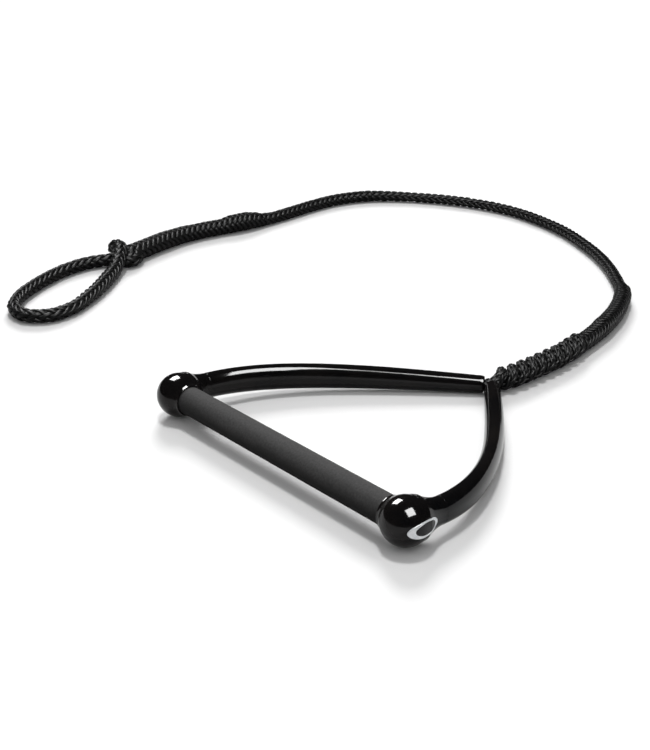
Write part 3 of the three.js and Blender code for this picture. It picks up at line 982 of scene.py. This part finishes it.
def make_grip():
    """The rubber sleeve as a fine turned skin that dips gently, with its ends in the sockets."""
    rng = np.random.default_rng(5)
    x = np.concatenate([
        [-GRIP_HALF, -GRIP_HALF + 0.5, -GRIP_VISIBLE - 0.3, -GRIP_VISIBLE],
        np.linspace(-GRIP_VISIBLE + 0.4, GRIP_VISIBLE - 0.4, GRIP_STEPS),
        [GRIP_VISIBLE, GRIP_VISIBLE + 0.3, GRIP_HALF - 0.5, GRIP_HALF]])
    angle = TURN * np.arange(GRIP_SIDES) / GRIP_SIDES
    radius = np.full((len(x), GRIP_SIDES), GRIP_RADIUS)
    radius[:3] = GRIP_END_RADIUS
    radius[-3:] = GRIP_END_RADIUS
    dips = rng.normal(0, DIP, (DIPS_ALONG, DIPS_AROUND))
    row = np.interp(x, np.linspace(-GRIP_HALF, GRIP_HALF, DIPS_ALONG), np.arange(DIPS_ALONG))
    column = np.arange(GRIP_SIDES) / GRIP_SIDES * DIPS_AROUND
    for index, at in enumerate(row):
        below = int(min(at, DIPS_ALONG - 2))
        level = dips[below] * (1 - at + below) + dips[below + 1] * (at - below)
        radius[index] += np.interp(column, np.arange(DIPS_AROUND + 1), np.append(level, level[0]))
    rows = np.stack([
        np.broadcast_to(x[:, None], radius.shape),
        GRIP_Y + radius * np.cos(angle), BALL_RADIUS + radius * np.sin(angle),
    ], axis=2)
    build = Build()
    build.grid(rows[:, ::-1], np.arange(GRIP_SIDES + 1) / GRIP_SIDES, x * MM)
    piece = build.object("grip_sleeve_skin", [RUBBER])
    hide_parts("grip_sleeve")
    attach(piece, "handle")


make_grip()


# ---------------------------------------------------------------- inner CAD pieces
INNER = {
    "grip_core_tube": ALUMINIUM, "float_core": FOAM,
    "end_plug_right": NYLON, "end_plug_left": NYLON,
    "bridle_rope_right": ROPE_CORE, "bridle_rope_left": ROPE_CORE,
    "stopper_knot_right": ROPE_CORE, "stopper_knot_left": ROPE_CORE,
    "knot_washer_right": STEEL, "knot_washer_left": STEEL,
}


def finish_inner():
    """The pieces sealed inside the handle keep their CAD shapes."""
    for node, material in INNER.items():
        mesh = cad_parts[node].data
        mesh.materials.clear()
        mesh.materials.append(material)


finish_inner()


# ---------------------------------------------------------------- studio
FLOOR_HALF = 60.0
FLOOR_DROP = 0.0002


def make_floor():
    """A plain pale floor, far wider than any view."""
    material, tree, shader = new_material("studio_floor")
    place = coordinates(tree, "Object")
    tone = noise(tree, place, 3.0, 2.0)
    colour = ramp(tree, tone, [(0.3, 0.88), (0.7, 0.9)])
    tree.links.new(colour, shader.inputs["Base Color"])
    shader.inputs["Roughness"].default_value = 0.9
    shader.inputs["Specular IOR Level"].default_value = 0.1
    mesh = bpy.data.meshes.new("studio_floor")
    corners = [(x * FLOOR_HALF, y * FLOOR_HALF, 0)
               for x, y in ((-1, -1), (1, -1), (1, 1), (-1, 1))]
    mesh.from_pydata(corners, [], [(0, 1, 2, 3)])
    mesh.materials.append(material)
    floor = linked("studio_floor", mesh)
    floor.location.z = -FLOOR_DROP


def aim(light, place):
    """Puts the light at a place, facing the middle of the floor."""
    light.location = place
    light.rotation_euler = Vector(place).to_track_quat("Z", "Y").to_euler()


def softbox(name, place, width, height, radiance):
    """A rectangular panel of a given brightness, seen only in glossy surfaces."""
    data = bpy.data.lights.new(name, "AREA")
    data.shape = "RECTANGLE"
    data.size, data.size_y = width, height
    data.energy = radiance * width * height * math.pi
    light = linked(name, data)
    aim(light, place)
    light.visible_camera = False
    light.visible_diffuse = False


def sun(name, place, energy, spread):
    """A distant lamp, seen only by its light and its shadows."""
    data = bpy.data.lights.new(name, "SUN")
    data.energy = energy
    data.angle = math.radians(spread)
    lamp = linked(name, data)
    aim(lamp, place)
    lamp.visible_glossy = False
    lamp.visible_camera = False


def make_lights():
    """Two suns for the soft shadows, two panels for the highlights, and a pale surround."""
    sun("key", (-0.24, 0.19, 0.95), 1.15, 9)
    sun("rear", (-0.69, 0.55, 0.49), 2.9, 20)
    softbox("softbox_left", (-0.85, 0.05, 1.05), 0.62, 0.56, 63)
    softbox("softbox_right", (0.90, -0.09, 1.33), 0.92, 0.88, 58)
    world = bpy.data.worlds.new("studio")
    world.use_nodes = True
    background = world.node_tree.nodes["Background"]
    background.inputs["Color"].default_value = (1, 1, 1, 1)
    background.inputs["Strength"].default_value = 0.44
    world.cycles_visibility.glossy = False
    bpy.context.scene.world = world
    bpy.context.scene.view_settings.view_transform = "Standard"


make_floor()
make_lights()
